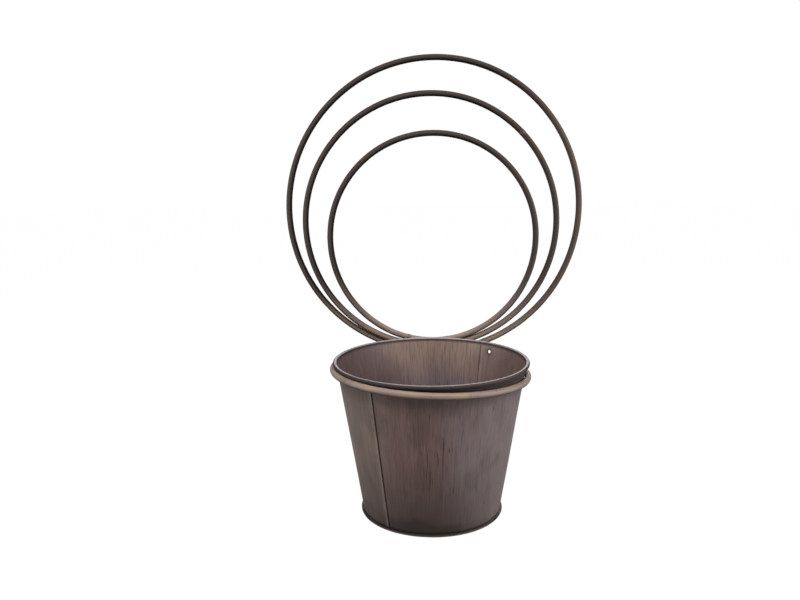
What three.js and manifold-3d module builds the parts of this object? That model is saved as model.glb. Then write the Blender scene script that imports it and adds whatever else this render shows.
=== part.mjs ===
// A tapered tin bucket wedged in the holder ring of a welded frame with three graduated hoops.
// Millimetres, +Z up. The bucket stands on z = 0 and the hoops stand behind it, at +Y.
import * as THREE from "three";
import { mergeVertices } from "three/addons/utils/BufferGeometryUtils.js";
import Module from "manifold-3d";

const wasm = await Module();
wasm.setup();

// Bucket: an eight inch pail, measured over the rolled rim.
const BUCKET_HEIGHT = 161.5;
const RIM_OUTER_RADIUS = 101.5;
const SHEET = 0.6;
const TAPER = 0.163; // radius gained per millimetre of height
const GAP = 0.3; // between pieces that touch
const RIM_WIRE_RADIUS = 1.1;
const RIM_CURL_END = -120; // degrees; the curl starts at 180 and goes over the top
const CRIMP_OUTER_RADIUS = 74.8;
const BASE_RECESS = 3.6; // underside of the base disc above the floor
const SEAM_AZIMUTH = 50; // degrees; the second seam is exactly opposite
const SEAM_WIDTH = 5.6;
const SEAM_RIDGE = 0.4; // how far the pressed fold stands proud of the wall
const SEAM_BEVEL = 0.4; // width of its one sloping edge
const SEAM_INSET = 0.1; // its edges lie just inside the strip's
const HOLE_AZIMUTH = 44.6; // degrees; the second hole is exactly opposite
const HOLE_RADIUS = 2.2;
const HOLE_BELOW_RIM = 10; // from the top of the rim
const DRILL_LENGTH = 20;

// Frame: round rod, nearly 7 mm.
const ROD_RADIUS = 3.45;
const RING_RADIUS = 100.7;
const RING_CENTRE = [-0.6, -0.4, 149.6];
const RING_LEAN_RIGHT = 2.3; // degrees; the ring's right side hangs lower
const RING_LEAN_BACK = 1.3; // degrees; its back hangs lower than its front
const HOOP_LEAN = 1.6; // degrees; all three hoops lean back together
const HOOPS = [
  { name: "large", radius: 166.9, middle: 9.2, foot: 143.8, depth: 110.6, joint: 14 },
  { name: "middle", radius: 143.9, middle: 5.3, foot: 150.7, depth: 106.9, joint: 134 },
  { name: "small", radius: 118.4, middle: 7.4, foot: 157.9, depth: 105.1, joint: -14 },
];
const RING_JOINT = 76; // degrees round the ring to its butt weld, behind the bucket
const BUTT_WELD = 2.4; // length of a butt weld along the rod
// Tack welds: a bead in the groove between two rods, at a distance right of their middle.
const TACKS = [
  { name: "tack_small_middle", rods: ["hoop_small", "hoop_middle"], right: 14, side: 1 },
  { name: "tack_middle_large", rods: ["hoop_middle", "hoop_large"], right: -18, side: 1 },
  { name: "tack_ring_left", rods: ["holder_ring", "hoop_middle"], right: -7, side: -1 },
  { name: "tack_ring_right", rods: ["holder_ring", "hoop_middle"], right: 9, side: -1 },
];
const TACK_SIZE = [5, 2.9, 2.9]; // half length along the rods, and half thickness
const TACK_OUT = 2.2; // from the line between the two rods' centres

// Facets
const BUCKET_SEGMENTS = 60;
const ROD_SEGMENTS = 72;
const ROD_SIDES = 8;
const RIM_WIRE_SIDES = 6;
const HOLE_SIDES = 16;
const BEAD_FACETS = [12, 8];
const CURL_STEP = 30; // degrees

const curlRadius = RIM_WIRE_RADIUS + GAP + SHEET;
const curlCentre = new THREE.Vector2(RIM_OUTER_RADIUS - curlRadius, BUCKET_HEIGHT - curlRadius);
const degrees = THREE.MathUtils.degToRad;

// Outside radius of the bucket's wall at a height.
function wallRadius(z) {
  return curlCentre.x - curlRadius + SHEET - TAPER * (curlCentre.y - z);
}

// --- Solids ---------------------------------------------------------------------------------

function solid(geometry) {
  const bare = geometry.clone();
  bare.deleteAttribute("normal");
  bare.deleteAttribute("uv");
  const merged = mergeVertices(bare, 1e-4);
  const made = new wasm.Manifold(
    new wasm.Mesh({
      numProp: 3,
      vertProperties: merged.attributes.position.array,
      triVerts: new Uint32Array(merged.index.array),
    }),
  );
  if (made.volume() <= 0) throw new Error("a solid is inside out");
  return made;
}

function geometryOf(manifold) {
  const mesh = manifold.getMesh();
  const geometry = new THREE.BufferGeometry();
  geometry.setAttribute("position", new THREE.BufferAttribute(mesh.vertProperties, 3));
  geometry.setIndex(new THREE.BufferAttribute(mesh.triVerts, 1));
  geometry.computeVertexNormals();
  return geometry;
}

// A closed profile of [radius, height] points, revolved about the Z axis.
function revolve(profile) {
  const points = profile.map(([r, z]) => new THREE.Vector2(r, z));
  if (points[0].x > 0) points.push(points[0].clone());
  return solid(new THREE.LatheGeometry(points, BUCKET_SEGMENTS).rotateX(Math.PI / 2));
}

function block(width, depth, height, x, y, z, azimuth) {
  const box = new THREE.BoxGeometry(width, depth, height).translate(x, y, z);
  return solid(box.rotateZ(degrees(azimuth)));
}

// --- Bucket ---------------------------------------------------------------------------------

function arc(radius, from, to) {
  const steps = Math.round(Math.abs(to - from) / CURL_STEP);
  return Array.from({ length: steps + 1 }, (_, i) => {
    const angle = degrees(from + ((to - from) * i) / steps);
    return [curlCentre.x + radius * Math.cos(angle), curlCentre.y + radius * Math.sin(angle)];
  });
}

// The sheet's section: flange inside the base crimp, tapered wall, and the curl over the wire.
const flangeLow = SHEET + GAP;
const flangeTop = flangeLow + SHEET;
const flangeRadius = CRIMP_OUTER_RADIUS - SHEET - GAP;
const wall = revolve([
  [flangeRadius, flangeTop],
  [wallRadius(flangeTop), flangeTop],
  ...arc(RIM_WIRE_RADIUS + GAP, 180, RIM_CURL_END),
  ...arc(curlRadius, RIM_CURL_END, 180),
  [wallRadius(flangeLow) - SHEET, flangeLow],
  [flangeRadius, flangeLow],
]);

// Half of the wall, cut square to the seams, with its hole.
function wallSheet(side) {
  const reach = 2 * RIM_OUTER_RADIUS;
  const clear = SEAM_WIDTH / 2 + GAP;
  const half = block(reach, reach, reach, 0, side * (clear + reach / 2), reach / 2, SEAM_AZIMUTH);
  const drill = new THREE.CylinderGeometry(HOLE_RADIUS, HOLE_RADIUS, DRILL_LENGTH, HOLE_SIDES);
  drill.rotateZ(Math.PI / 2).translate(-side * curlCentre.x, 0, BUCKET_HEIGHT - HOLE_BELOW_RIM);
  drill.rotateZ(degrees(HOLE_AZIMUTH + 180));
  return wall.intersect(half).subtract(solid(drill));
}

// The strip where the two sheets hook into each other, pressed flat on the outside.
function lockSeam(azimuth) {
  const reach = 2 * RIM_OUTER_RADIUS;
  const strip = wall.intersect(block(reach, SEAM_WIDTH, reach, reach / 2, 0, reach / 2, azimuth));
  const half = SEAM_WIDTH / 2 - SEAM_INSET;
  const fold = new THREE.Shape([
    new THREE.Vector2(-SHEET / 2, half),
    new THREE.Vector2(-SHEET / 2, -half),
    new THREE.Vector2(SEAM_RIDGE / 4, -half),
    new THREE.Vector2(SEAM_RIDGE, SEAM_BEVEL - half),
    new THREE.Vector2(SEAM_RIDGE, half),
  ]);
  const low = flangeTop + GAP + SHEET + GAP;
  const high = curlCentre.y - curlRadius - GAP;
  const ridge = new THREE.ExtrudeGeometry(fold, { depth: high - low, bevelEnabled: false });
  // Slide each end out to the wall, so that the ridge follows the taper.
  const places = ridge.attributes.position;
  for (let i = 0; i < places.count; i += 1) {
    const z = places.getZ(i) + low;
    places.setXYZ(i, places.getX(i) + wallRadius(z), places.getY(i), z);
  }
  return strip.add(solid(ridge.rotateZ(degrees(azimuth))));
}

// The base disc, its skirt inside the wall and its edge folded up round the wall's flange.
const skirt = wallRadius(flangeLow) - SHEET - GAP;
const crimpTop = flangeTop + GAP + SHEET;
const basePan = revolve([
  [0, BASE_RECESS],
  [skirt - SHEET, BASE_RECESS],
  [skirt - SHEET, 0],
  [CRIMP_OUTER_RADIUS, 0],
  [CRIMP_OUTER_RADIUS, crimpTop],
  [wallRadius(crimpTop) + GAP, crimpTop],
  [wallRadius(crimpTop) + GAP, crimpTop - SHEET],
  [CRIMP_OUTER_RADIUS - SHEET, crimpTop - SHEET],
  [CRIMP_OUTER_RADIUS - SHEET, SHEET],
  [skirt, SHEET],
  [skirt, BASE_RECESS + SHEET],
  [0, BASE_RECESS + SHEET],
]);

const wireRing = new THREE.TorusGeometry(
  curlCentre.x,
  RIM_WIRE_RADIUS,
  RIM_WIRE_SIDES,
  BUCKET_SEGMENTS,
);
const rimWire = solid(wireRing.translate(0, 0, curlCentre.y));

// --- Frame ----------------------------------------------------------------------------------

// A round rod bent to a circle in the XY plane, with a slot at its butt weld, and the weld in it.
function bentRod(radius, joint) {
  const rod = solid(new THREE.TorusGeometry(radius, ROD_RADIUS, ROD_SIDES, ROD_SEGMENTS));
  const width = 3 * ROD_RADIUS;
  const slot = block(width, BUTT_WELD + 2 * GAP, width, radius, 0, 0, joint);
  const weld = block(width, BUTT_WELD, width, radius, 0, 0, joint);
  return { rod: rod.subtract(slot), weld: rod.intersect(weld) };
}

const ringTurn = new THREE.Matrix4()
  .makeTranslation(...RING_CENTRE)
  .multiply(new THREE.Matrix4().makeRotationY(degrees(RING_LEAN_RIGHT)))
  .multiply(new THREE.Matrix4().makeRotationX(degrees(-RING_LEAN_BACK)));

function hoopTurn(hoop) {
  const lean = degrees(HOOP_LEAN);
  const depth = hoop.depth + hoop.radius * Math.sin(lean);
  const height = hoop.foot + hoop.radius * Math.cos(lean);
  return new THREE.Matrix4()
    .makeTranslation(hoop.middle, depth, height)
    .multiply(new THREE.Matrix4().makeRotationX(Math.PI / 2 - lean));
}

const circles = [
  { name: "holder_ring", radius: RING_RADIUS, joint: RING_JOINT, turn: ringTurn },
  ...HOOPS.map((hoop) => ({
    name: "hoop_" + hoop.name,
    radius: hoop.radius,
    joint: hoop.joint - 90,
    turn: hoopTurn(hoop),
  })),
];

const fatRods = circles.map(({ radius, turn }) =>
  solid(
    new THREE.TorusGeometry(radius, ROD_RADIUS + GAP, ROD_SIDES, ROD_SEGMENTS).applyMatrix4(turn),
  ),
);

// The point of a circle's centreline at a distance right of its lowest or rearmost point.
function rodPoint(name, right) {
  const { radius, turn } = circles.find((circle) => circle.name === name);
  const end = name === "holder_ring" ? 1 : -1;
  const point = new THREE.Vector3(right, end * Math.sqrt(radius ** 2 - right ** 2), 0);
  return point.applyMatrix4(turn);
}

function tackWeld({ rods, right, side }) {
  const [a, b] = rods.map((name) => rodPoint(name, right));
  const out = new THREE.Vector3(1, 0, 0).cross(b.clone().sub(a)).setLength(side * TACK_OUT);
  const centre = a.add(b).multiplyScalar(0.5).add(out);
  const bead = new THREE.SphereGeometry(1, ...BEAD_FACETS);
  bead.scale(...TACK_SIZE).translate(...centre);
  return fatRods.reduce((rest, rod) => rest.subtract(rod), solid(bead));
}

// --- Assembly -------------------------------------------------------------------------------

const paints = {
  sheet: { color: 0x5b4e46, roughness: 0.55, metalness: 0.35 },
  rod: { color: 0x4a403a, roughness: 0.5, metalness: 0.4 },
  weld: { color: 0x453b35, roughness: 0.65, metalness: 0.4 },
};

const assembly = new THREE.Group();

function addPiece(name, geometry, paint) {
  const piece = new THREE.Mesh(geometry, new THREE.MeshStandardMaterial(paints[paint]));
  piece.name = name;
  assembly.add(piece);
}

addPiece("wall_sheet_left", geometryOf(wallSheet(1)), "sheet");
addPiece("wall_sheet_right", geometryOf(wallSheet(-1)), "sheet");
addPiece("lock_seam_back", geometryOf(lockSeam(SEAM_AZIMUTH)), "sheet");
addPiece("lock_seam_front", geometryOf(lockSeam(SEAM_AZIMUTH + 180)), "sheet");
addPiece("rim_wire", geometryOf(rimWire), "sheet");
addPiece("base_pan", geometryOf(basePan), "sheet");

circles.forEach(({ name, radius, joint, turn }) => {
  const { rod, weld } = bentRod(radius, joint);
  addPiece(name, geometryOf(rod).applyMatrix4(turn), "rod");
  addPiece(name + "_butt_weld", geometryOf(weld).applyMatrix4(turn), "weld");
});

TACKS.forEach((tack) => addPiece(tack.name, geometryOf(tackWeld(tack)), "weld"));

// The origin is under the middle of the whole object's box.
const box = new THREE.Box3().setFromObject(assembly);
const middle = box.getCenter(new THREE.Vector3());
assembly.position.set(-middle.x, -middle.y, -box.min.z);

export default assembly;
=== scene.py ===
"""A tin florist's bucket held in a welded rod frame with three hoops: its finished look.

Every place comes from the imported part, and lengths are in millimetres until a mesh is made.
The bucket's pieces ride on the body "bucket" and the rods and welds on the body "hoop_frame".
"""

import math

import bmesh
import bpy
import numpy as np
from mathutils import Matrix, Vector, noise


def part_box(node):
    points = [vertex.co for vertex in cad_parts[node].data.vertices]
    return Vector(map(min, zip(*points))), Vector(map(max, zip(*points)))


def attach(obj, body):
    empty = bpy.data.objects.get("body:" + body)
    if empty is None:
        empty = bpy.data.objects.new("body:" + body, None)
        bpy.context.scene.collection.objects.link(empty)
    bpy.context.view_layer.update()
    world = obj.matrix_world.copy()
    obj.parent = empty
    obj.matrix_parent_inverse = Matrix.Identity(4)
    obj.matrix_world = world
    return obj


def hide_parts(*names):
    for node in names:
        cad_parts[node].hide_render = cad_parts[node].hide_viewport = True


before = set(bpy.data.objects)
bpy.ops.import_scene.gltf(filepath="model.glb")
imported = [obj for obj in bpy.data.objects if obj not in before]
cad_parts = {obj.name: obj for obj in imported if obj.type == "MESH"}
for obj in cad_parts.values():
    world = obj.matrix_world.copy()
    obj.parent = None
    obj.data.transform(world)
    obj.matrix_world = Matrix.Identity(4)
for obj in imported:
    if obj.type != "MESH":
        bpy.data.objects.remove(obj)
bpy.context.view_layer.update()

MM = 0.001

# --- Sizes shared with the part's source, in millimetres and degrees ----------------------------

SHEET = 0.6  # thickness of the bucket's metal
TAPER = 0.163  # radius gained per millimetre of height
GAP = 0.3  # between sheets that are folded together
WIRE_RADIUS = 1.1
CURL_END = -120.0  # degrees; the curl starts at 180 and goes over the top
BASE_RECESS = 3.6
SEAM_AZIMUTH = 50.0  # of the back seam, counted from +X towards +Y; the front seam is opposite
HOLE_AZIMUTH = 44.6  # of the back wire hole; the front hole is opposite
HOLE_RADIUS = 2.2
HOLE_BELOW_RIM = 10.0
ROD_RADIUS = 3.45
RING_LEAN_RIGHT = 2.3
RING_LEAN_BACK = 1.3
RING_JOINT = 76.0  # angle of the ring's butt weld from +X
HOOP_LEAN = 1.6
HOOP_JOINTS = {"large": -76.0, "middle": 44.0, "small": -104.0}  # angles of the hoops' butt welds

# --- Unevenness that the source leaves out ------------------------------------------------------

HOLE_DENT = 0.25  # how far the punch pushed the sheet in, over a width round the hole
HOLE_DENT_WIDTH = 3.2
PAINT_LIP = 0.3  # paint built up round the wire hole's edge

# How the bent rods stray from a true circle, in millimetres: cosine and sine of twice and three
# times the angle, counted from +X upwards.
OUT_OF_ROUND = {
    "hoop_large": (-0.49, 0.22, -0.16, -0.09),
    "hoop_middle": (-0.06, -0.14, -0.01, -0.10),
    "hoop_small": (-0.41, 0.04, -0.02, 0.24),
}


def corners(node):
    """Lowest and highest corner of a CAD node, in millimetres."""
    low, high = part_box(node)
    return np.array(low) / MM, np.array(high) / MM


def centre(node):
    low, high = corners(node)
    return (low + high) / 2


def half_size(node):
    low, high = corners(node)
    return (high - low) / 2


AXIS = centre("base_pan")[:2]  # the bucket's upright axis
CRIMP_RADIUS = half_size("base_pan")[0]
RIM_TOP = corners("wall_sheet_left")[1][2]
HOLE_HEIGHT = RIM_TOP - HOLE_BELOW_RIM
CURL_RADIUS = WIRE_RADIUS + GAP + SHEET / 2  # of the sheet's middle
CURL_CENTRE = np.array([half_size("rim_wire")[0] - WIRE_RADIUS, centre("rim_wire")[2]])
WALL_TOP_RADIUS = CURL_CENTRE[0] - CURL_RADIUS  # of the sheet's middle, where the curl starts


def wall_radius(z):
    """Radius of the middle of the wall's sheet at a height."""
    return WALL_TOP_RADIUS - TAPER * (CURL_CENTRE[1] - z)


# --- Meshes -------------------------------------------------------------------------------------


def grid_faces(rows, columns, close_rows=False, close_columns=False):
    """Quads of a grid of points numbered row by row."""
    row, column = np.meshgrid(
        np.arange(rows if close_rows else rows - 1),
        np.arange(columns if close_columns else columns - 1),
        indexing="ij",
    )
    next_row, next_column = (row + 1) % rows, (column + 1) % columns
    quads = np.stack(
        [
            row * columns + column,
            row * columns + next_column,
            next_row * columns + next_column,
            next_row * columns + column,
        ],
        -1,
    )
    return quads.reshape(-1, 4)


def end_caps(rows, columns):
    """Quads that close both ends of a sheet's sweep: point i of a loop faces point columns - 1 - i."""
    i = np.arange(columns // 2 - 1)
    cap = np.stack([i, i + 1, columns - 2 - i, columns - 1 - i], -1)
    return np.concatenate([cap, cap + (rows - 1) * columns])


def make_piece(name, points, faces, place, body, nodes, material, masks=None, sharp=40.0):
    """A mesh object from points in millimetres, riding on a body and standing for CAD nodes."""
    mesh = bpy.data.meshes.new(name)
    mesh.from_pydata((points * MM).tolist(), [], faces.tolist())
    for mask, values in (masks or {}).items():
        attribute = mesh.attributes.new(mask, "FLOAT", "POINT")
        attribute.data.foreach_set("value", np.ascontiguousarray(values, np.float32).ravel())
    work = bmesh.new()
    work.from_mesh(mesh)
    bmesh.ops.remove_doubles(work, verts=work.verts, dist=1e-3 * MM)
    bmesh.ops.recalc_face_normals(work, faces=work.faces)
    work.to_mesh(mesh)
    work.free()
    finish_shading(mesh, sharp)
    mesh.materials.append(material)
    piece = bpy.data.objects.new(name, mesh)
    piece.matrix_world = place
    bpy.context.scene.collection.objects.link(piece)
    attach(piece, body)
    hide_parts(*nodes)
    return piece


def finish_shading(mesh, sharp):
    mesh.shade_smooth()
    mesh.set_sharp_from_angle(angle=math.radians(sharp))


def smooth_step(value, start, end):
    """0 before start, 1 after end, and smooth between them; start may be above end."""
    t = np.clip((value - start) / (end - start), 0, 1)
    return t * t * (3 - 2 * t)


def bump(value, middle, width):
    """1 at the middle, falling smoothly to nothing about twice the width away."""
    return np.exp(-(((value - middle) / width) ** 2))


# --- Bucket -------------------------------------------------------------------------------------

BUCKET_PLACE = Matrix.Translation((AXIS[0] * MM, AXIS[1] * MM, 0))
WALL_STEPS = 56  # rows of the wall below the curl
CURL_STEPS = 30
COLUMN_DEGREES = 0.75  # width of a column of the wall
GROOVE_CLEAR = 3.3  # how far a wall sheet stays from the middle of the seam, past its groove
FOLD_CLEAR = 2.2  # and on the seam's other side, where the sheet runs under the fold
MIDDLE_HEIGHT = 80.0
FLANGE_MIDDLE = SHEET + GAP + SHEET / 2  # height of the wall's flange inside the crimp
FLANGE_RADIUS = CRIMP_RADIUS - SHEET - GAP
FOLD = 0.9  # radius of the folds, at the middle of the sheet


def arc(middle, radius, start, end, steps):
    angles = np.radians(np.linspace(start, end, steps))
    return np.stack([middle[0] + radius * np.cos(angles), middle[1] + radius * np.sin(angles)], -1)


def both_sides(path, thickness=SHEET):
    """Offsets an open path of radius and height to both sides: a loop out along it and back."""
    along = np.gradient(path, axis=0)
    along /= np.linalg.norm(along, axis=1, keepdims=True)
    across = np.stack([along[:, 1], -along[:, 0]], -1) * thickness / 2
    return np.concatenate([path + across, (path - across)[::-1]])


def wall_path():
    """Middle of the sheet: flange in the crimp, wall, and the curl round the wire."""
    corner = wall_radius(FLANGE_MIDDLE)
    low = FLANGE_MIDDLE + FOLD
    heights = np.linspace(low, CURL_CENTRE[1], WALL_STEPS)[:-1]
    fold = arc((corner + FOLD, low), FOLD, 270, 180, 7)
    wall = np.stack([wall_radius(heights), heights], -1)
    curl = arc(CURL_CENTRE, CURL_RADIUS, 180, CURL_END, CURL_STEPS)
    return np.concatenate([[[FLANGE_RADIUS, FLANGE_MIDDLE]], fold[:-1], wall, curl])


def waves(azimuth, z):
    """Small unevenness of the hand-worked sheet, none at the rim, the ring or the base."""
    free = smooth_step(z, 4, 40) * smooth_step(z, 141, 112)
    uneven = 0.20 * np.sin(3 * azimuth + 0.7) * np.sin(z / 46 + 0.6)
    uneven += 0.09 * np.sin(7 * azimuth + z / 31 + 1.9)
    uneven += 0.05 * np.sin(12 * azimuth - z / 19 + 0.4)
    return free * uneven


def hole_azimuths():
    """Where the back and the front wire holes are, in radians."""
    return [math.radians(HOLE_AZIMUTH), math.radians(HOLE_AZIMUTH + 180)]


def near_hole(azimuth, z, width):
    """1 at a wire hole, falling off over a width in millimetres, for the dent left by the punch."""
    nearest = np.zeros(np.broadcast(azimuth, z).shape)
    for place in hole_azimuths():
        turn = (azimuth - place + math.pi) % (2 * math.pi) - math.pi
        away = np.hypot(turn * wall_radius(HOLE_HEIGHT), z - HOLE_HEIGHT)
        nearest = np.maximum(nearest, bump(away, 0, width))
    return nearest


def sheet_masks(radius, z, inside):
    """Painted highlight on the rolled rim's crest, and painted shade in its hollows, under it and in
    the crimp.
    """
    out, up = radius - CURL_CENTRE[0], z - CURL_CENTRE[1]
    angle = np.degrees(np.arctan2(up, out)) % 360
    on_curl = smooth_step(np.hypot(out, up), CURL_RADIUS + 1.6, CURL_RADIUS + 0.5)
    # Painted highlight along the rim's crest.
    crest_highlight = on_curl * smooth_step(angle, 57, 75) * smooth_step(angle, 152, 132)
    # Painted shade in the curl's inner hollow and on its underside.
    inner = smooth_step(angle, 138, 156) * smooth_step(angle, 206, 190)
    outer = np.maximum(smooth_step(angle, 232, 250), smooth_step(angle, 72, 56))
    hollows = on_curl * np.maximum(inner, outer)
    # Painted shade on the wall just under the rim, and in the crimp.
    under_rim = smooth_step(z, RIM_TOP - 6.5, RIM_TOP - 4.4) * smooth_step(up, -1.0, -2.2) * ~inside
    in_crimp = smooth_step(z, 4.6, 2.6)
    return crest_highlight, np.clip(hollows + 0.3 * under_rim + in_crimp, 0, 1)


def wall_sheet(side, material):
    """One half of the wall, from seam to seam, with its wire hole drilled through."""
    loop = both_sides(wall_path())
    start = SEAM_AZIMUTH + (0 if side == "left" else 180)
    clear_low = math.degrees(GROOVE_CLEAR / wall_radius(MIDDLE_HEIGHT))
    clear_high = math.degrees(FOLD_CLEAR / wall_radius(MIDDLE_HEIGHT))
    count = int((180 - clear_low - clear_high) / COLUMN_DEGREES) + 1
    azimuths = np.radians(np.linspace(start + clear_low, start + 180 - clear_high, count))
    azimuth, z = azimuths[:, None], loop[None, :, 1]
    radius = loop[None, :, 0] + waves(azimuth, z)
    dent = HOLE_DENT * near_hole(azimuth, z, HOLE_DENT_WIDTH)
    radius = radius - dent * smooth_step(z, RIM_TOP - 2, RIM_TOP - 6)
    points = np.stack(
        [radius * np.cos(azimuth), radius * np.sin(azimuth), np.broadcast_to(z, radius.shape)], -1
    )
    rows, columns = radius.shape
    inside = np.broadcast_to(np.arange(columns) >= columns // 2, radius.shape)
    crest_highlight, painted_shade = sheet_masks(loop[None, :, 0] + 0 * azimuth, z + 0 * azimuth, inside)
    faces = np.concatenate([grid_faces(rows, columns, close_columns=True), end_caps(rows, columns)])
    piece = make_piece(
        "wall_" + side,
        points.reshape(-1, 3),
        faces,
        BUCKET_PLACE,
        "bucket",
        ["wall_sheet_" + side],
        material,
        {"wear_and_highlight": 0 * painted_shade, "painted_shade": painted_shade, "crest_highlight": crest_highlight, "inside": inside},
    )
    drill(piece, hole_azimuths()[0 if side == "right" else 1])
    return piece


DRILL_SIDES = 40
DRILL_LENGTH = 12.0


def drill(piece, azimuth):
    """Cuts the round wire hole through a wall sheet."""
    cutter_mesh = bpy.data.meshes.new("drill")
    work = bmesh.new()
    bmesh.ops.create_cone(
        work,
        cap_ends=True,
        segments=DRILL_SIDES,
        radius1=(HOLE_RADIUS - PAINT_LIP) * MM,
        radius2=(HOLE_RADIUS - PAINT_LIP) * MM,
        depth=DRILL_LENGTH * MM,
    )
    work.to_mesh(cutter_mesh)
    work.free()
    cutter = bpy.data.objects.new("drill", cutter_mesh)
    bpy.context.scene.collection.objects.link(cutter)
    out = wall_radius(HOLE_HEIGHT)
    spot = Vector((out * math.cos(azimuth), out * math.sin(azimuth), HOLE_HEIGHT)) * MM
    turn = Matrix.Rotation(azimuth, 4, "Z") @ Matrix.Rotation(math.pi / 2, 4, "Y")
    cutter.matrix_world = BUCKET_PLACE @ Matrix.Translation(spot) @ turn
    cut = piece.modifiers.new("wire_hole", "BOOLEAN")
    cut.operation = "DIFFERENCE"
    cut.solver = "EXACT"
    cut.object = cutter
    bpy.context.view_layer.update()
    evaluated = piece.evaluated_get(bpy.context.evaluated_depsgraph_get())
    drilled = bpy.data.meshes.new_from_object(evaluated)
    piece.modifiers.clear()
    piece.data = drilled
    finish_shading(drilled, 40.0)
    bpy.data.objects.remove(cutter)


SEAM_HALF = 2.6  # half the width of the fold
SEAM_REACH = 3.6  # past the groove beside the fold's sharp edge
SEAM_FOLD = 0.42  # how far the fold stands proud outside
SEAM_FOLD_INSIDE = 0.16
SEAM_GROOVE = 0.22  # depth of the groove outside
SEAM_GROOVE_INSIDE = 0.16
SEAM_PROUD = 0.05  # where the seam runs into the rim and the crimp


def seam_strip(name, azimuth_degrees, material):
    """The hooked and flattened joint: a fold outside with a sharp edge and a dark groove beside it."""
    loop = both_sides(wall_path())
    even = np.linspace(-SEAM_REACH + 0.5, SEAM_REACH, 26)
    at_groove = np.linspace(2.2, 3.4, 13)
    t = np.unique(np.concatenate([even, at_groove]))[:, None]  # distance across the seam
    z = loop[None, :, 1]
    is_out = (np.arange(len(loop)) < len(loop) // 2)[None, :]
    on_wall = smooth_step(z, 2.6, 4.2) * smooth_step(z, CURL_CENTRE[1] - 1.6, CURL_CENTRE[1] - 4.0)
    fold = smooth_step(t, -SEAM_HALF - 0.3, -SEAM_HALF + 0.9)
    fold = fold * smooth_step(t, SEAM_HALF + 0.12, SEAM_HALF - 0.12)
    groove = smooth_step(t, SEAM_HALF, SEAM_HALF + 0.25)
    groove = groove * smooth_step(t, SEAM_REACH, SEAM_REACH - 0.35)
    press = 1 + 0.10 * np.sin(z / 7.0 + math.radians(azimuth_degrees)) * on_wall
    proud = SEAM_PROUD * (1 - on_wall)
    outwards = on_wall * (SEAM_FOLD * fold * press - SEAM_GROOVE * groove) + proud
    inwards = on_wall * (SEAM_FOLD_INSIDE * fold - SEAM_GROOVE_INSIDE * groove) + proud
    side_step = np.where(is_out, outwards, -inwards)
    # The step goes square to the wall, which leans out by the taper.
    slant = math.atan(TAPER)
    azimuth = math.radians(azimuth_degrees)
    radius = loop[None, :, 0] + side_step * math.cos(slant)
    height = z - side_step * math.sin(slant) * on_wall
    radius = radius + waves(azimuth + t / 90.0, z)
    flat = np.sqrt(np.maximum(radius**2 - t**2, 0))
    x = flat * math.cos(azimuth) - t * math.sin(azimuth)
    y = flat * math.sin(azimuth) + t * math.cos(azimuth)
    points = np.stack([x, y, np.broadcast_to(height, x.shape)], -1)
    rows, columns = x.shape
    inside = np.broadcast_to(~is_out, x.shape)
    crest_highlight, painted_shade = sheet_masks(loop[None, :, 0] + 0 * t, z + 0 * t, inside)
    # The fold is lighter: rubbed paint with a painted highlight.
    wear_and_highlight = on_wall * smooth_step(t, -2.2, 1.6) * smooth_step(t, 2.6, 2.3)
    faces = np.concatenate([grid_faces(rows, columns, close_columns=True), end_caps(rows, columns)])
    return make_piece(
        name,
        points.reshape(-1, 3),
        faces,
        BUCKET_PLACE,
        "bucket",
        [name],
        material,
        {"wear_and_highlight": wear_and_highlight, "painted_shade": painted_shade, "crest_highlight": crest_highlight, "inside": inside},
        sharp=50.0,
    )


def ring_points(radius, thickness, steps, sides, wobble=lambda angle: 0, swell=lambda angle, side: 0):
    """Points of a round rod bent to a circle in the XY plane, row by row along it."""
    angle = np.linspace(0, 2 * math.pi, steps, endpoint=False)[:, None]
    side = np.linspace(0, 2 * math.pi, sides, endpoint=False)[None, :]
    tube = thickness + swell(angle, side)
    out = radius + wobble(angle) + tube * np.cos(side)
    return np.stack(
        [out * np.cos(angle), out * np.sin(angle), tube * np.sin(side) + 0 * angle], -1
    )


WIRE_STEPS = 240
WIRE_SIDES = 16


def rim_wire(material):
    """The steel wire inside the curl."""
    points = ring_points(CURL_CENTRE[0], WIRE_RADIUS, WIRE_STEPS, WIRE_SIDES)
    return make_piece(
        "wire_in_rim",
        points.reshape(-1, 3),
        grid_faces(WIRE_STEPS, WIRE_SIDES, True, True),
        BUCKET_PLACE @ Matrix.Translation((0, 0, CURL_CENTRE[1] * MM)),
        "bucket",
        ["rim_wire"],
        material,
    )


def pan_path():
    """Middle of the base's sheet: disc, skirt inside the wall, and bead crimped round the flange."""
    skirt = wall_radius(SHEET + GAP) - SHEET - GAP
    disc = BASE_RECESS + SHEET / 2
    foot = SHEET / 2
    bead_top = SHEET + GAP + SHEET + GAP + SHEET / 2
    bead = (bead_top - foot) / 2
    bead_middle = (CRIMP_RADIUS - SHEET / 2 - bead, foot + bead)
    end = wall_radius(bead_top) + SHEET / 2 + GAP
    flat = np.stack([np.linspace(0, skirt - FOLD, 24), np.full(24, disc)], -1)
    return np.concatenate(
        [
            flat[:-1],
            arc((skirt - FOLD, disc - FOLD), FOLD, 90, 0, 8),
            arc((skirt + FOLD, foot + FOLD), FOLD, 180, 270, 8),
            arc(bead_middle, bead, 270, 450, 17),
            [[(end + bead_middle[0]) / 2, bead_top], [end, bead_top]],
        ]
    )


BASE_COLUMNS = 400


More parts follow.
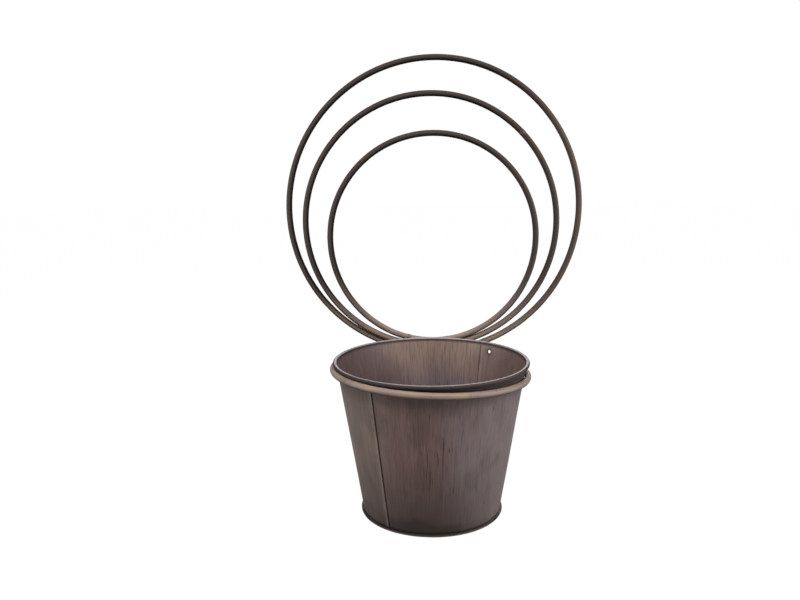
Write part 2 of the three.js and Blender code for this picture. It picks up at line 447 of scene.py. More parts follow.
def base_pan(material):
    """The recessed base, its edge folded up round the walls' flange."""
    loop = both_sides(pan_path())
    azimuth = np.linspace(0, 2 * math.pi, BASE_COLUMNS, endpoint=False)[:, None]
    radius, z = loop[None, :, 0] + 0 * azimuth, loop[None, :, 1] + 0 * azimuth
    outer = smooth_step(radius, CRIMP_RADIUS - 3.4, CRIMP_RADIUS - 1.2)
    # The crimp was rolled by hand: its outer edge wanders a little, and the disc has settled.
    radius = radius + outer * (0.10 * np.sin(5 * azimuth + 0.5) + 0.05 * np.sin(23 * azimuth))
    dished = 0.5 * smooth_step(radius, 66, 30) * (1 + 0.4 * np.sin(2 * azimuth) * radius / 60)
    z = z - dished + outer * 0.06 * np.sin(17 * azimuth + 1.0) * smooth_step(z, 0.3, 1.6)
    # The fold's outermost line is lighter at the front and back: rubbed paint with a painted
    # highlight.
    outermost_line = smooth_step(radius, CRIMP_RADIUS - 1, CRIMP_RADIUS - 0.5)
    outermost_line = outermost_line * smooth_step(z, 0.4, 0.9) * smooth_step(z, 1.9, 1.4)
    wear_and_highlight = outermost_line * smooth_step(np.abs(np.cos(azimuth)), 0.9, 0.6)
    # Painted shade on the fold above and below that line, in the crease by the wall, and round the
    # disc's edge inside.
    painted_shade = smooth_step(radius, CRIMP_RADIUS - 1.9, CRIMP_RADIUS - 2.6) * smooth_step(radius, 70, 71.5)
    painted_shade = np.maximum(painted_shade, outer * (1 - wear_and_highlight) * smooth_step(z, 2.6, 2.2))
    painted_shade = np.maximum(painted_shade, 0.6 * smooth_step(radius, 62, 70) * smooth_step(z, 3.4, 3.8))
    points = np.stack([radius * np.cos(azimuth), radius * np.sin(azimuth), z], -1)
    faces = grid_faces(BASE_COLUMNS, len(loop), True, False)
    return make_piece(
        "base",
        points.reshape(-1, 3),
        faces,
        BUCKET_PLACE,
        "bucket",
        ["base_pan"],
        material,
        {"wear_and_highlight": wear_and_highlight, "painted_shade": painted_shade, "crest_highlight": 0 * painted_shade, "inside": radius < CRIMP_RADIUS - 5},
        sharp=50.0,
    )


# --- Frame --------------------------------------------------------------------------------------

ROD_STEPS = 360
ROD_SIDES = 28


def ring_turn():
    turn = Matrix.Rotation(math.radians(RING_LEAN_RIGHT), 4, "Y")
    return turn @ Matrix.Rotation(math.radians(-RING_LEAN_BACK), 4, "X")


def hoop_turn():
    return Matrix.Rotation(math.pi / 2 - math.radians(HOOP_LEAN), 4, "X")


def circles():
    """Each rod circle: its node, radius, place and the angle of its butt weld."""
    ring_radius = half_size("holder_ring")[1] - ROD_RADIUS
    found = [("holder_ring", ring_radius, ring_turn(), RING_JOINT)]
    for size, joint in HOOP_JOINTS.items():
        node = "hoop_" + size
        found.append((node, half_size(node)[0] - ROD_RADIUS, hoop_turn(), joint))
    return found


def circle_place(node, turn):
    return Matrix.Translation(Vector(centre(node)) * MM) @ turn


RING_FLAT = 0.7  # the ring is pushed in this much on its right
SPRING_BACK = 0.03  # the roller's ripple


def stray(node, angle):
    """How far a bent rod's circle strays outwards at an angle."""
    if node == "holder_ring":
        turned = (angle + math.pi) % (2 * math.pi) - math.pi
        return SPRING_BACK * np.sin(5 * angle) - RING_FLAT * bump(turned, 0, 0.35)
    twice_cos, twice_sin, thrice_cos, thrice_sin = OUT_OF_ROUND[node]
    twice = twice_cos * np.cos(2 * angle) + twice_sin * np.sin(2 * angle)
    thrice = thrice_cos * np.cos(3 * angle) + thrice_sin * np.sin(3 * angle)
    return twice + thrice + SPRING_BACK * np.sin(7 * angle)


# How much painted shade darkens the rod's front at the top of each hoop.
DEEP_SHADE_ON_TOP = {"hoop_large": 0.32, "hoop_middle": 0.26, "hoop_small": 0.18}


def rod_shade(node, radius, angle, side):
    """Painted shade on a rod, light and deep, from 0 to 1.

    A hoop has little light shade at its foot and is full of it higher up, with deep shade along its
    inner side, on its outer side near the foot and over its top. The ring has deep shade underneath
    and a little light shade at its left and right.
    """
    if node == "holder_ring":
        beside = 0.14 * smooth_step(np.abs(np.cos(angle)), 0.5, 0.95)
        return beside + 0 * side, 0.7 * smooth_step(-np.sin(side), 0.0, 0.75) + 0 * angle
    above_foot = radius * (1 + np.sin(angle))
    risen = smooth_step(above_foot, 5, 85)
    dim_shade = 0.20 + 0.80 * risen + 0 * side
    on_left = 1 - 0.7 * smooth_step(np.cos(angle), 0.35, 0.9)
    inner = smooth_step(-np.cos(side), 0.12, 0.55) * risen * on_left
    outer = 0.9 * smooth_step(np.cos(side), 0.18, 0.70) * (1 - smooth_step(above_foot, 25, 110))
    # Less painted shade on the large hoop's right.
    if node == "hoop_large":
        dim_shade = dim_shade * (1 - 0.11 * smooth_step(np.cos(angle), 0.4, 0.9))
    top = DEEP_SHADE_ON_TOP[node] * smooth_step(np.sin(angle), 0.35, 0.95) + 0 * side
    return dim_shade, np.maximum(np.maximum(inner, outer), top)


def rod_circle(node, radius, turn, seed, material):
    """A rod bent to a circle, slightly out of round and uneven as a roller leaves it."""

    def swell(angle, side):
        pits = 0.018 * np.sin(41 * angle + 3 * side + seed) + 0.012 * np.sin(97 * angle - 2 * side)
        return pits - 0.02

    points = ring_points(
        radius, ROD_RADIUS, ROD_STEPS, ROD_SIDES, lambda angle: stray(node, angle), swell
    )
    angle = np.linspace(0, 2 * math.pi, ROD_STEPS, endpoint=False)[:, None]
    side = np.linspace(0, 2 * math.pi, ROD_SIDES, endpoint=False)[None, :]
    dim_shade, deep_shade = rod_shade(node, radius, angle, side)
    faces = grid_faces(ROD_STEPS, ROD_SIDES, True, True)
    name = "ring_rod" if node == "holder_ring" else node + "_rod"
    return make_piece(
        name,
        points.reshape(-1, 3),
        faces,
        circle_place(node, turn),
        "hoop_frame",
        [node],
        material,
        {"dim_shade": dim_shade, "deep_shade": deep_shade},
    )


BEAD_GRID = (40, 36)
BEAD_RIPPLE = 0.12
BEAD_PITCH = 1.3  # between ripples


def bead_surface(half_length, half_width, half_height, seed):
    """A lumpy, rippled weld bead, long in X."""
    rows, columns = BEAD_GRID
    polar = np.linspace(0, math.pi, rows)[:, None]
    around = np.linspace(0, 2 * math.pi, columns, endpoint=False)[None, :]
    x = -np.cos(polar) + 0 * around
    y = np.sin(polar) * np.cos(around)
    z = np.sin(polar) * np.sin(around)
    points = np.stack([x * half_length, y * half_width, z * half_height], -1)
    for point in points.reshape(-1, 3):
        lump = noise.noise(Vector(point) * 0.55 + Vector((seed, 2 * seed, 0)))
        point *= 1 + 0.14 * lump
    ripples = BEAD_RIPPLE * np.sin(points[..., 0] * 2 * math.pi / BEAD_PITCH) * np.sin(polar)
    points[..., 1] += ripples * y
    points[..., 2] += ripples * z
    return points.reshape(-1, 3), grid_faces(rows, columns, False, True)


COLLAR_GRID = (22, 36)
COLLAR_HALF = 2.6  # half the length of a butt weld


def butt_weld(node, radius, turn, joint, seed, material):
    """The short collar of weld where a rod's two ends meet, ground back almost flush."""
    rows, columns = COLLAR_GRID
    along = np.linspace(-1, 1, rows)[:, None]
    around = np.linspace(0, 2 * math.pi, columns, endpoint=False)[None, :]
    proud = 0.30 * (1 - along**4) - 0.12
    ends = np.abs(along) > 0.999
    tube = np.where(ends, ROD_RADIUS - 0.9, ROD_RADIUS + proud)
    tube = tube + 0.10 * np.sin(3 * around + seed) * (1 - along**2)
    tube = tube + 0.05 * np.sin(9 * along + 5 * around + seed) * (1 - along**2)
    angle = math.radians(joint) + along * COLLAR_HALF / radius
    out = radius + stray(node, angle) + tube * np.cos(around)
    points = np.stack([out * np.cos(angle), out * np.sin(angle), tube * np.sin(around)], -1)
    deep_shade = rod_shade(node, radius, angle, around)[1]
    return make_piece(
        node + "_weld",
        points.reshape(-1, 3),
        grid_faces(rows, columns, False, True),
        circle_place(node, turn),
        "hoop_frame",
        [node + "_butt_weld"],
        material,
        {"wear_and_highlight": np.full(rows * columns, 0.35), "deep_shade": deep_shade},
    )


# Half the length, width and height of each tack weld's bead.
TACK_SIZES = {
    "tack_small_middle": (5.2, 3.1, 3.1),
    "tack_middle_large": (5.2, 3.1, 3.1),
    "tack_ring_left": (5.2, 3.6, 3.2),
    "tack_ring_right": (5.2, 3.6, 3.2),
}


def tack_weld(node, size, seed, material):
    """A bead in the groove between two rods."""
    points, faces = bead_surface(*size, seed)
    place = Matrix.Translation(Vector(centre(node)) * MM)
    return make_piece(
        node + "_bead", points, faces, place, "hoop_frame", [node], material
    )


# --- Paint --------------------------------------------------------------------------------------


class Nodes:
    """Short calls that add shader nodes to one material and join them up."""

    def __init__(self, name):
        self.material = bpy.data.materials.new(name)
        self.material.use_nodes = True
        self.tree = self.material.node_tree
        self.shader = self.tree.nodes["Principled BSDF"]

    def add(self, kind, inputs=None, **settings):
        node = self.tree.nodes.new(kind)
        for key, value in settings.items():
            setattr(node, key, value)
        for key, value in (inputs or {}).items():
            self.set(node.inputs[key], value)
        return node

    def set(self, socket, value):
        if isinstance(value, bpy.types.NodeSocket):
            self.tree.links.new(value, socket)
        else:
            socket.default_value = value

    def maths(self, operation, a, b=0.0, clamp=False):
        node = self.add("ShaderNodeMath", operation=operation, use_clamp=clamp)
        self.set(node.inputs[0], a)
        self.set(node.inputs[1], b)
        return node.outputs[0]

    def times(self, first, *rest):
        """The product of two or more values."""
        for value in rest:
            first = self.maths("MULTIPLY", first, value)
        return first

    def scaled(self, value, factor, offset):
        node = self.add("ShaderNodeMath", {0: value, 1: factor, 2: offset}, operation="MULTIPLY_ADD")
        return node.outputs[0]

    def noise(self, vector, scale, detail=2.0, roughness=0.5, distortion=0.0, w=None):
        inputs = {
            "Vector": vector,
            "Scale": scale,
            "Detail": detail,
            "Roughness": roughness,
            "Distortion": distortion,
        }
        if w is not None:
            inputs["W"] = w
        node = self.add("ShaderNodeTexNoise", noise_dimensions="3D" if w is None else "4D")
        for key, value in inputs.items():
            self.set(node.inputs[key], value)
        return node.outputs["Fac"]

    def step(self, value, low, high):
        """0 below low, 1 above high, smooth between; low may be above high."""
        node = self.add("ShaderNodeMapRange", interpolation_type="SMOOTHSTEP")
        flipped = low > high
        self.set(node.inputs["Value"], value)
        node.inputs["From Min"].default_value = min(low, high)
        node.inputs["From Max"].default_value = max(low, high)
        node.inputs["To Min"].default_value = 1.0 if flipped else 0.0
        node.inputs["To Max"].default_value = 0.0 if flipped else 1.0
        return node.outputs["Result"]

    def mix(self, amount, a, b, blend="MIX"):
        node = self.add("ShaderNodeMix", data_type="RGBA", blend_type=blend)
        self.set(node.inputs[0], amount)
        self.set(node.inputs[6], a)
        self.set(node.inputs[7], b)
        return node.outputs[2]

    def mask(self, name):
        return self.add("ShaderNodeAttribute", attribute_name=name).outputs["Fac"]

    def bump(self, height, distance, strength=1.0, normal=None):
        node = self.add("ShaderNodeBump", {"Height": height, "Distance": distance})
        node.inputs["Strength"].default_value = strength
        if normal is not None:
            self.set(node.inputs["Normal"], normal)
        return node.outputs["Normal"]


def colour(red, green, blue):
    """A linear colour from display values of 0 to 255."""
    linear = [
        v / 12.92 if v <= 0.04045 else ((v + 0.055) / 1.055) ** 2.4
        for v in (red / 255, green / 255, blue / 255)
    ]
    return (*linear, 1.0)


# The bucket's coats, outside and inside; the outside's olive and plum sides hold a painted reflection.
OLIVE = colour(112, 95, 84)
RED_BROWN = colour(103, 80, 75)
PLUM = colour(115, 100, 101)
LILAC = colour(122, 107, 116)
TAN = colour(146, 124, 112)
BROWN = colour(114, 93, 88)
DIM_BROWN = colour(95, 77, 76)
# Smoke, dirt and painted shade, and the lines of the seams.
SOOT_AND_SHADE = colour(54, 43, 41)
DARK = colour(27, 18, 17)
BLACK = colour(18, 14, 13)
SEAM_DARK = colour(26, 13, 11)
SEAM_RED = colour(76, 48, 40)
# Rubbed edges lit by a painted highlight, and the painted highlight on the crest of the rim.
RUBBED_AND_HIGHLIGHT = colour(160, 145, 132)
HIGHLIGHT_GREY = colour(144, 137, 142)
# The rods' paint, and its painted shade.
OLIVE_ROD = colour(144, 126, 109)
PLUM_ROD = colour(132, 114, 108)
SHADE_BROWN = colour(55, 44, 37)
SHADE_PLUM = colour(50, 42, 41)
# The wire in the rim.
WIRE_GREY = colour(92, 84, 78)
WIRE_RUST = colour(70, 50, 38)

WALL_MIDDLE_RADIUS = 88.0  # the wall's, halfway up

# Heights on the bucket between which its paint changes, in millimetres.
TAN_INSIDE = (96.0, 146.0)
SCRATCHES_START = (28.0, 62.0)
SCRATCHES_END = (130.0, 106.0)
FOOT_DARKENING = (100.0, 4.0)
FOOT_EDGE = (32.0, 8.0)
FOOT_DEEPEST = (24.0, 6.0)
# Where the painted shadow under the holder ring starts and ends, and the painted shade above it.
RING_SHADOW_STARTS = (128.0, 144.0)
RING_SHADOW_ENDS = (160.0, 152.0)
ABOVE_RING = (149.0, 153.0)
SEAM_LINE_ENDS = (157.5, 156.5)

# Distances between which the seam's line starts and ends, and the painted shade round a hole fades.
SEAM_LINE_NEAR = (2.30, 2.65)
SEAM_LINE_FAR = (4.30, 3.85)
HOLE_SHADE = (5.2, 2.6)


class SheetPlaces:
    """Where a point of the bucket's sheet is, for its paint."""

    def __init__(self, n, upright):
        self.n = n
        self.upright = upright
        self.place = n.add("ShaderNodeTexCoord").outputs["Object"]
        split = n.add("ShaderNodeSeparateXYZ", {"Vector": self.place})
        self.x, self.y, self.z = split.outputs[0], split.outputs[1], split.outputs[2]
        flat = n.add("ShaderNodeCombineXYZ", {"X": self.x, "Y": self.y}).outputs[0]
        round_it = n.add("ShaderNodeVectorMath", {0: flat}, operation="NORMALIZE").outputs[0]
        rounds = n.add("ShaderNodeSeparateXYZ", {"Vector": round_it})
        radius = WALL_MIDDLE_RADIUS * MM
        self.right = rounds.outputs[0] if upright else n.times(self.x, 1 / radius)
        self.side_x = n.times(rounds.outputs[0], radius)
        self.side_y = n.times(rounds.outputs[1], radius)

    def brushed(self, stretch):
        """Noise coordinates drawn out along the strokes: down the wall, or across the base."""
        if self.upright:
            down = self.n.times(self.z, 1 / stretch)
            stroke = {"X": self.side_x, "Y": self.side_y, "Z": down}
        else:
            stroke = {"X": self.n.times(self.x, 1 / stretch), "Y": self.y, "Z": self.z}
        return self.n.add("ShaderNodeCombineXYZ", stroke).outputs[0]

    def between(self, value, span):
        """0 before a span of millimetres, 1 after it."""
        return self.n.step(value, span[0] * MM, span[1] * MM)


def coats_and_side_reflections(n, at, clouds):
    """Olive, red brown and plum meet round the outside, with a painted reflection on the
    lighter olive left and plum right; inside, tan is over lilac and brown.
    """
    drift = n.times(n.maths("SUBTRACT", clouds, 0.5), 0.9)
    turn = n.maths("ADD", at.right, drift)
    # Painted reflection: lighter olive on the outside's left and plum on its right, red brown between.
    outer = n.mix(n.step(turn, -0.25, -0.85), RED_BROWN, OLIVE)
    outer = n.mix(n.step(turn, -0.05, 0.55), outer, PLUM)
    high = at.between(n.maths("ADD", at.z, n.times(drift, 40 * MM)), TAN_INSIDE)
    inner = n.mix(high, LILAC, TAN)
    inner = n.mix(n.step(turn, -0.10, -0.65), inner, DIM_BROWN)
    inner = n.mix(n.step(turn, 0.55, 0.85), inner, BROWN)
    return n.mix(n.mask("inside"), outer, inner)


def brush_marks(n, at, tone, strokes, bristles):
    """Patches, then bands, strokes and bristle lines, lighter and darker than the coat."""
    bands = n.noise(at.brushed(5.0), 80, 2.0, 0.5)
    patches = n.noise(at.brushed(1.7), 33, 3.0, 0.55)
    patched = n.times(n.step(patches, 0.52, 0.36), n.step(n.mask("inside"), 2.2, -0.8))
    tone = n.mix(n.times(patched, 0.32), tone, SOOT_AND_SHADE)
    for marks, start, full, amount, tint in (
        (bands, 0.50, 0.74, 0.10, TAN),
        (bands, 0.50, 0.28, 0.10, SOOT_AND_SHADE),
        (strokes, 0.52, 0.74, 0.12, TAN),
        (strokes, 0.50, 0.30, 0.22, SOOT_AND_SHADE),
        (bristles, 0.50, 0.32, 0.40, SOOT_AND_SHADE),
        (bristles, 0.54, 0.72, 0.24, TAN),
    ):
        tone = n.mix(n.times(n.step(marks, start, full), amount), tone, tint)
    return tone


def scratches(n, at, tone):
    """Dark scratches, most of them halfway up in the middle of the front and of the back."""
    marks = n.noise(at.brushed(11.0), 520, 1.0, 0.5)
    marks_where = n.noise(at.brushed(2.0), 26, 1.0, 0.5)
    middle = n.times(n.step(at.right, 0.50, 0.22), n.step(at.right, -0.35, -0.05))
    middle = n.times(middle, at.between(at.z, SCRATCHES_END), at.between(at.z, SCRATCHES_START))
    # How strong the noise must be to leave a scratch: less in the middle.
    needed = n.scaled(middle, -0.11, 0.74)
    scratch = n.step(n.maths("SUBTRACT", marks, needed), 0.0, 0.05)
    scratch = n.times(scratch, n.step(marks_where, 0.40, 0.54))
    return n.mix(n.times(scratch, 0.72), tone, DARK)


def dark_foot_and_ring_shade(n, at, tone, clouds):
    """Darker towards the foot, and painted shadow under the holder ring and shade above it, with
    ragged edges; gives their mask too.
    """
    ragged = n.maths("ADD", at.z, n.times(n.maths("SUBTRACT", clouds, 0.5), 40 * MM))
    # The wall grows darker towards its foot, in the middle of the front and of the back.
    foot = n.times(at.between(at.z, FOOT_DARKENING), 0.82)
    foot = n.maths("MAXIMUM", foot, at.between(ragged, FOOT_EDGE))
    foot = n.times(foot, n.step(at.right, 1.15, 0.10), n.step(at.right, -1.40, -0.30))
    # Painted shadow under the holder ring, and painted shade above it up to the rim.
    under = n.times(at.between(ragged, RING_SHADOW_STARTS), at.between(at.z, RING_SHADOW_ENDS))
    above = at.between(at.z, ABOVE_RING)
    top = n.maths("MAXIMUM", n.times(under, 0.45), n.times(above, 0.95))
    outside = n.maths("SUBTRACT", 1.0, n.mask("inside"))
    shade_and_darkening = n.times(n.maths("MAXIMUM", n.times(foot, 0.94), top), outside)
    tone = n.mix(shade_and_darkening, tone, SOOT_AND_SHADE)
    deepest = n.times(at.between(ragged, FOOT_DEEPEST), n.step(at.right, 0.80, 0.10))
    return n.mix(n.times(deepest, outside, 0.24), tone, DARK), shade_and_darkening


def seam_lines(n, at, tone):
    """The joints of the two sheets: a dark line in the groove beside each fold."""
    seam = math.radians(SEAM_AZIMUTH)
    along = n.maths("ADD", n.times(at.x, math.cos(seam)), n.times(at.y, math.sin(seam)))
    across = n.maths("SUBTRACT", n.times(at.y, math.cos(seam)), n.times(at.x, math.sin(seam)))
    beside = n.times(across, n.maths("SIGN", along))
    line = n.times(at.between(beside, SEAM_LINE_NEAR), at.between(beside, SEAM_LINE_FAR))
    line = n.times(line, at.between(at.z, SEAM_LINE_ENDS), n.step(n.mask("inside"), 2.6, -0.2))
    return n.mix(line, tone, n.mix(n.mask("inside"), SEAM_DARK, SEAM_RED))


def shade_round_holes(n, at, tone):
    """Painted shade round each wire hole's edge."""
    spot = math.radians(HOLE_AZIMUTH)
    aside = n.maths("SUBTRACT", n.times(at.y, math.cos(spot)), n.times(at.x, math.sin(spot)))
    above = n.maths("SUBTRACT", at.z, HOLE_HEIGHT * MM)
    away = n.maths("SQRT", n.maths("ADD", n.times(aside, aside), n.times(above, above)))
    return n.mix(n.times(at.between(away, HOLE_SHADE), 0.60), tone, DARK)


def bucket_paint(name, upright=True):
    """Brown paint dragged with a dry brush: down the wall, or across the flat base.

    The wall also has its seams' lines, painted shade round its holes, and painted shade and a
    highlight on its rim.
    """
    n = Nodes(name)
    at = SheetPlaces(n, upright)
    bristles = n.noise(at.brushed(26.0), 1250, 3.0, 0.65)
    strokes = n.noise(at.brushed(14.0), 430, 2.0, 0.55)
    clouds = n.noise(at.brushed(1.4), 17, 3.0, 0.55)
    mottle = n.noise(at.place, 130, 4.0, 0.6)

    tone = coats_and_side_reflections(n, at, clouds)
    tone = brush_marks(n, at, tone, strokes, bristles)
    tone = scratches(n, at, tone)
    tone, shade_and_darkening = dark_foot_and_ring_shade(n, at, tone, clouds)
    # Lighter edges: rubbed paint with a painted highlight.
    wear_and_highlight = n.times(n.mask("wear_and_highlight"), n.step(mottle, 0.20, 0.52))
    tone = n.mix(n.times(wear_and_highlight, 0.27), tone, RUBBED_AND_HIGHLIGHT)
    if upright:
        tone = seam_lines(n, at, tone)
        tone = shade_round_holes(n, at, tone)
    # Painted shade in the rim's hollows, under the rim, in the crimp and round the base's fold.
    painted_shade = n.mask("painted_shade")
    tone = n.mix(n.times(painted_shade, 0.90), tone, DARK)
    # Painted highlight on the rim's crest, in grey.
    tone = n.mix(n.times(n.mask("crest_highlight"), 0.80), tone, HIGHLIGHT_GREY)

    rough = n.scaled(bristles, 0.22, 0.38)
    rough = n.maths("ADD", rough, n.times(shade_and_darkening, 0.10))
    rough = n.maths("ADD", rough, n.times(painted_shade, 0.15), clamp=True)
    n.set(n.shader.inputs["Base Color"], tone)
    n.set(n.shader.inputs["Roughness"], rough)
    n.shader.inputs["Metallic"].default_value = 0.25
    n.shader.inputs["Specular IOR Level"].default_value = 0.45
    streaked = n.bump(bristles, 0.04 * MM, 0.7)
    dragged = n.bump(strokes, 0.07 * MM, 0.6, streaked)
    n.set(n.shader.inputs["Normal"], n.bump(mottle, 0.05 * MM, 0.5, dragged))
    return n.material


def rod_coordinates(n):
    """Noise coordinates for a rod bent in its object's XY plane.

    They are the place itself, a function that draws it out along the rod, and the distance from
    the circle's middle, which streaks take as a fourth coordinate.
    """
    place = n.add("ShaderNodeTexCoord").outputs["Object"]
    split = n.add("ShaderNodeSeparateXYZ", {"Vector": place})
    x, y, z = split.outputs[0], split.outputs[1], split.outputs[2]
    out = n.maths("SQRT", n.maths("ADD", n.times(x, x), n.times(y, y)))

    def drawn_out(stretch):
        drawn = {"X": n.times(x, 1 / stretch), "Y": n.times(y, 1 / stretch), "Z": z}
        return n.add("ShaderNodeCombineXYZ", drawn).outputs[0]

    return place, drawn_out, out


def rod_paint():
    """The same brown paint on round rod, dragged along its length, with painted shade high on the
    hoops.
    """
    n = Nodes("rod_paint")
    place, drawn_out, out = rod_coordinates(n)

    def streaks(stretch, scale, detail):
        return n.noise(drawn_out(stretch), scale, detail, 0.6, w=n.times(out, scale))

    lines = streaks(18.0, 560, 2.0)
    drags = streaks(12.0, 230, 2.0)
    mottle = n.noise(place, 170, 3.0, 0.55)
    patches = n.noise(place, 30, 2.0, 0.5)
    tone = n.mix(n.step(patches, 0.36, 0.62), OLIVE_ROD, PLUM_ROD)
    tone = n.mix(n.times(n.step(drags, 0.50, 0.72), 0.40), tone, TAN)
    tone = n.mix(n.times(n.step(lines, 0.48, 0.30), 0.35), tone, BROWN)
    tone = n.mix(n.times(n.step(mottle, 0.44, 0.30), 0.25), tone, SOOT_AND_SHADE)
    tone = n.mix(n.times(n.step(lines, 0.54, 0.72), 0.30), tone, RUBBED_AND_HIGHLIGHT)
    # Painted shade, more of it higher up the hoops, in brown and plum.
    shade_and_darkening = n.mix(n.step(patches, 0.40, 0.58), SHADE_BROWN, SHADE_PLUM)
    tone = n.mix(n.times(n.mask("dim_shade"), 0.93), tone, shade_and_darkening)
    # Deep painted shade on the rods' inner sides, undersides and tops.
    deep_shade = n.mask("deep_shade")
    tone = n.mix(n.times(deep_shade, 0.95), tone, BLACK)
    rough = n.maths("ADD", n.scaled(mottle, 0.22, 0.38), n.times(deep_shade, 0.55), clamp=True)
    n.set(n.shader.inputs["Base Color"], tone)
    n.set(n.shader.inputs["Roughness"], rough)
    n.shader.inputs["Metallic"].default_value = 0.1
    n.shader.inputs["Specular IOR Level"].default_value = 0.2
    lined = n.bump(lines, 0.05 * MM, 0.7)
    n.set(n.shader.inputs["Normal"], n.bump(mottle, 0.06 * MM, 0.6, lined))
    return n.material


def weld_paint():
    """Weld metal under the same paint: darker and coarser, with bare glints and the rods' painted
    shade.
    """
    n = Nodes("weld_paint")
    place = n.add("ShaderNodeTexCoord").outputs["Object"]
    grain = n.noise(place, 700, 4.0, 0.6)
    lumps = n.noise(place, 260, 2.0, 0.5)
    tone = n.mix(n.step(lumps, 0.35, 0.65), SOOT_AND_SHADE, BROWN)
    tone = n.mix(n.times(n.step(grain, 0.46, 0.30), 0.7), tone, DARK)
    glint = n.times(n.step(grain, 0.58, 0.68), n.mask("wear_and_highlight"))
    glint = n.maths("MAXIMUM", glint, n.times(n.step(grain, 0.64, 0.72), 0.35))
    tone = n.mix(glint, tone, RUBBED_AND_HIGHLIGHT)
    # The rods' deep painted shade carries on over the butt welds.
    tone = n.mix(n.times(n.mask("deep_shade"), 0.9), tone, BLACK)
    n.set(n.shader.inputs["Base Color"], tone)
    n.set(n.shader.inputs["Roughness"], n.scaled(grain, 0.3, 0.45))
    n.shader.inputs["Metallic"].default_value = 0.35
    coarse = n.bump(lumps, 0.20 * MM, 0.8)
    n.set(n.shader.inputs["Normal"], n.bump(grain, 0.08 * MM, 0.8, coarse))
    return n.material


def bare_wire():
    """Steel wire gone dull inside the rim."""
    n = Nodes("bare_wire")
    place = n.add("ShaderNodeTexCoord").outputs["Object"]
    stains = n.noise(place, 240, 4.0, 0.6)
    tone = n.mix(n.step(stains, 0.40, 0.62), WIRE_GREY, WIRE_RUST)
    n.set(n.shader.inputs["Base Color"], tone)
    n.set(n.shader.inputs["Roughness"], n.scaled(stains, 0.3, 0.35))
    n.shader.inputs["Metallic"].default_value = 0.8
    n.set(n.shader.inputs["Normal"], n.bump(stains, 0.03 * MM, 0.6))
    return n.material


# --- Stage --------------------------------------------------------------------------------------

CAMERA_FROM_AXIS = Vector((-31.36, -783.99, 362.68)) * MM
CAMERA_PITCH = 10.049  # degrees below level
CAMERA_ROLL = 0.654
CAMERA_LENS = 35.0
CAMERA_SENSOR = 36.0
FLOOR_HALF = 6.0


def add_camera():
    data = bpy.data.cameras.new("camera")
    data.lens = CAMERA_LENS
    data.sensor_width = CAMERA_SENSOR
    camera = bpy.data.objects.new("camera", data)
    place = Vector((AXIS[0] * MM, AXIS[1] * MM, 0)) + CAMERA_FROM_AXIS
    turn = Matrix.Rotation(math.radians(90 - CAMERA_PITCH), 4, "X")
    roll = Matrix.Rotation(math.radians(-CAMERA_ROLL), 4, "Z")
    camera.matrix_world = Matrix.Translation(place) @ turn @ roll
    bpy.context.scene.collection.objects.link(camera)
    bpy.context.scene.camera = camera


def add_floor():
    mesh = bpy.data.meshes.new("floor")
    corner = FLOOR_HALF
    mesh.from_pydata(
        [(-corner, -corner, 0), (corner, -corner, 0), (corner, corner, 0), (-corner, corner, 0)],
        [],
        [(0, 1, 2, 3)],
    )
    n = Nodes("pale_floor")
    n.shader.inputs["Base Color"].default_value = (0.35, 0.35, 0.35, 1)
    n.shader.inputs["Roughness"].default_value = 0.9
    glow = n.add("ShaderNodeEmission", {"Color": (1, 1, 1, 1), "Strength": 1.05})
    seen = n.add("ShaderNodeLightPath").outputs["Is Camera Ray"]
    both = n.add("ShaderNodeMixShader")
    n.set(both.inputs[0], n.times(seen, 0.94))
    n.set(both.inputs[1], n.shader.outputs[0])
    n.set(both.inputs[2], glow.outputs[0])
    n.set(n.tree.nodes["Material Output"].inputs["Surface"], both.outputs[0])
    mesh.materials.append(n.material)
    floor = bpy.data.objects.new("floor", mesh)
    bpy.context.scene.collection.objects.link(floor)


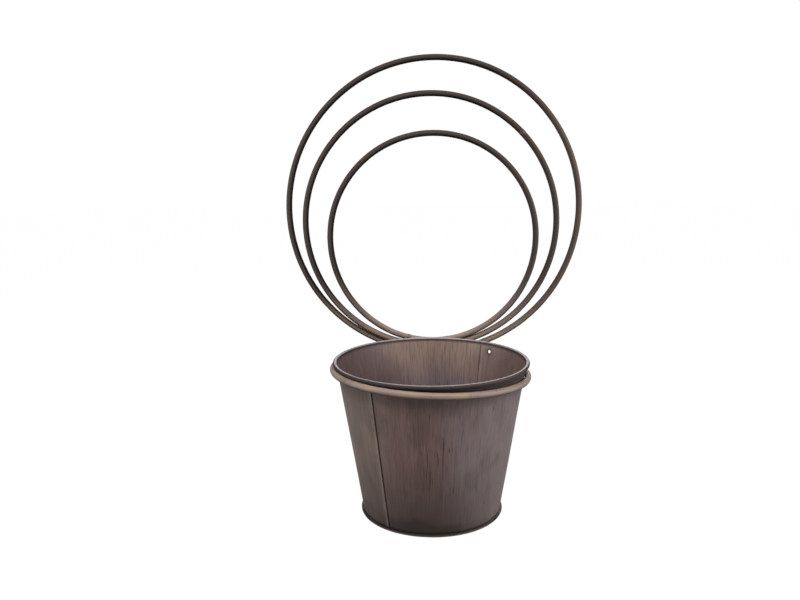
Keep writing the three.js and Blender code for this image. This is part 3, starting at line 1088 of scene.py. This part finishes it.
def add_world():
    world = bpy.data.worlds.new("studio")
    world.use_nodes = True
    tree = world.node_tree
    seen = tree.nodes.new("ShaderNodeLightPath").outputs["Is Camera Ray"]
    soft = tree.nodes["Background"]
    soft.inputs["Color"].default_value = (1, 1, 1, 1)
    soft.inputs["Strength"].default_value = 0.24
    white = tree.nodes.new("ShaderNodeBackground")
    white.inputs["Color"].default_value = (1, 1, 1, 1)
    white.inputs["Strength"].default_value = 1.0
    both = tree.nodes.new("ShaderNodeMixShader")
    tree.links.new(seen, both.inputs[0])
    tree.links.new(soft.outputs[0], both.inputs[1])
    tree.links.new(white.outputs[0], both.inputs[2])
    tree.links.new(both.outputs[0], tree.nodes["World Output"].inputs["Surface"])
    bpy.context.scene.world = world


LIGHT_AIM = (0, 0, 0.16)

# Place, width and height in metres, and power in watts, of each soft light.
LIGHTS = {
    "top": ((0.0, 0.1, 1.6), 1.5, 1.2, 12),
    "front": ((0.0, -0.95, 1.45), 1.6, 0.9, 20),
    "left": ((-1.35, -0.30, 0.45), 0.9, 1.1, 10),
    "right": ((1.35, -0.40, 0.45), 0.9, 1.1, 15),
    "back": ((0.2, 1.6, 0.7), 1.2, 0.9, 8),
}


def add_light(name, place, width, height, power):
    data = bpy.data.lights.new(name, "AREA")
    data.shape = "RECTANGLE"
    data.size = width
    data.size_y = height
    data.energy = power
    light = bpy.data.objects.new(name, data)
    turn = (Vector(LIGHT_AIM) - Vector(place)).to_track_quat("-Z", "Y").to_matrix().to_4x4()
    light.matrix_world = Matrix.Translation(place) @ turn
    bpy.context.scene.collection.objects.link(light)


# --- Build --------------------------------------------------------------------------------------

sheet_paint = bucket_paint("bucket_paint")
rods_paint = rod_paint()
welds_paint = weld_paint()

wall_sheet("left", sheet_paint)
wall_sheet("right", sheet_paint)
seam_strip("lock_seam_back", SEAM_AZIMUTH, sheet_paint)
seam_strip("lock_seam_front", SEAM_AZIMUTH + 180, sheet_paint)
rim_wire(bare_wire())
base_pan(bucket_paint("base_paint", upright=False))
for index, (node, radius, turn, joint) in enumerate(circles()):
    rod_circle(node, radius, turn, 1.7 * index, rods_paint)
    butt_weld(node, radius, turn, joint, 0.9 * index, welds_paint)
for index, (node, size) in enumerate(TACK_SIZES.items()):
    tack_weld(node, size, 3.1 * index + 1, welds_paint)

add_camera()
add_floor()
add_world()
for name, (place, width, height, power) in LIGHTS.items():
    add_light(name, place, width, height, power)
bpy.context.scene.view_settings.view_transform = "Standard"
